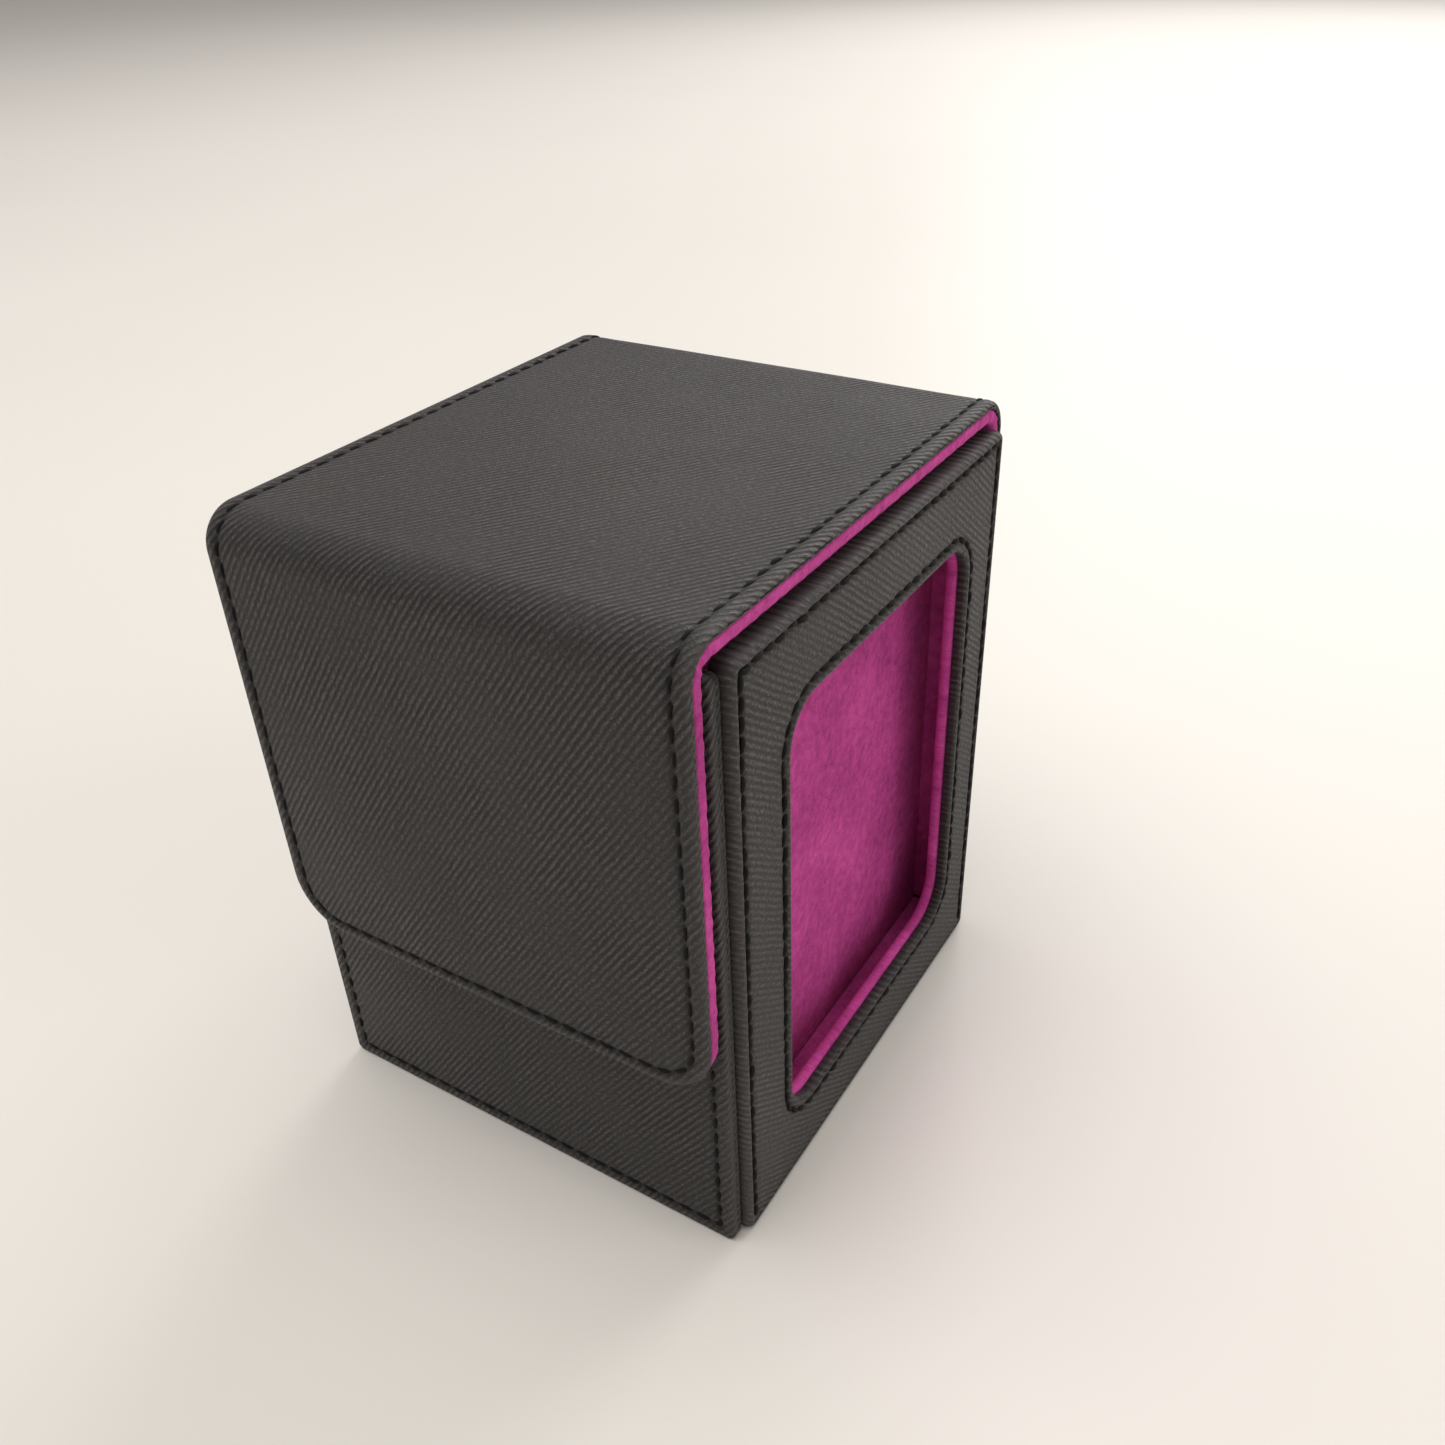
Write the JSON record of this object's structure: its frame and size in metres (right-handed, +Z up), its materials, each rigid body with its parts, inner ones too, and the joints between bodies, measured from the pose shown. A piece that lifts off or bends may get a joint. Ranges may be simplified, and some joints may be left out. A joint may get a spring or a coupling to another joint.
{
  "type": "card deck box",
  "caption": "Leatherette box for a deck of sleeved cards, with a fold-over magnetic cover and a framed display window over a card slot.",
  "frame": {"origin": "middle of the closed box's bounding box, at its base on the table", "axes": "+X towards the window side, -Y towards the flap, +Z up"},
  "size_m": [0.0784, 0.0884, 0.104],
  "materials": {
    "leather": "charcoal leatherette with a fine diagonal rib",
    "suede": "magenta microfibre suede",
    "board": "raw grey board",
    "magnet": "nickel plate",
    "thread": "black polyester thread"
  },
  "bodies": {
    "box": {"front_leather": "leather", "left_leather": "leather", "back_leather": "leather", "bottom_leather": "leather", "panel_leather": "leather", "hinge_fold_leather": "leather", "front_lining": "suede", "left_lining": "suede", "back_lining": "suede", "deck_floor_lining": "suede", "slot_floor_lining": "suede", "divider_lining_deck": "suede", "divider_lining_slot": "suede", "panel_lining": "suede", "hinge_fold_lining": "suede", "front_board": "board", "left_board": "board", "back_board": "board", "bottom_board": "board", "divider_board": "board", "panel_board": "board", "front_magnet_left": "magnet", "front_magnet_right": "magnet", "front_thread": "thread", "left_thread": "thread", "back_thread": "thread", "panel_thread": "thread", "window_thread": "thread"},
    "lid": {"lid_leather": "leather", "flap_fold_leather": "leather", "lid_lining": "suede", "flap_fold_lining": "suede", "lid_board": "board", "lid_thread_left": "thread", "lid_thread_right": "thread"},
    "flap": {"flap_leather": "leather", "flap_lining": "suede", "flap_board": "board", "flap_magnet_left": "magnet", "flap_magnet_right": "magnet", "flap_thread": "thread"}
  },
  "joints": [
    {"name": "lid_hinge", "type": "hinge", "parent": "box", "child": "lid", "pos_m": [0.0002, 0.04302, 0.10282], "axis": [-1, 0, 0], "range_deg": [0, 180], "deforming": ["hinge_fold_leather", "hinge_fold_lining"]},
    {"name": "flap_hinge", "type": "hinge", "parent": "lid", "child": "flap", "pos_m": [0.0002, -0.04302, 0.10282], "axis": [-1, 0, 0], "range_deg": [0, 120], "deforming": ["flap_fold_leather", "flap_fold_lining"]}
  ]
}
